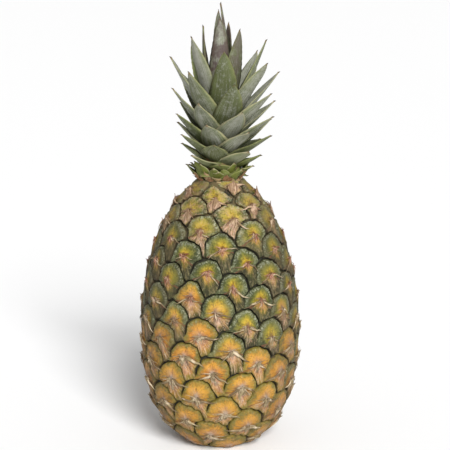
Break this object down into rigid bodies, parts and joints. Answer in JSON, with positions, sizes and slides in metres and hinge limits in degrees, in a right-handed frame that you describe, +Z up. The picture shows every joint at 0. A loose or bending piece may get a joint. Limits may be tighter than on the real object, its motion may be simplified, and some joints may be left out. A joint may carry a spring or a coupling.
{
  "type": "pineapple",
  "caption": "Whole ripe pineapple with its crown: an egg-shaped fruit of spiralling eyes with pointed bracts, topped by a tuft of pointed channelled leaves.",
  "frame": {"origin": "middle of the flat base that the fruit stands on", "axes": "+Z up through the crown, -Y towards the viewer of the picture, +X to the viewer's right"},
  "size_m": [0.1239, 0.124, 0.3303],
  "materials": {
    "fruit": "waxy, rough rind, green at the top to orange at the base",
    "crown": "waxy, grey-green, matt",
    "stalk": "dry, fibrous cut"
  },
  "bodies": {
    "root": {"fruit": "fruit", "crown": "crown", "stalk": "stalk"}
  },
  "joints": []
}
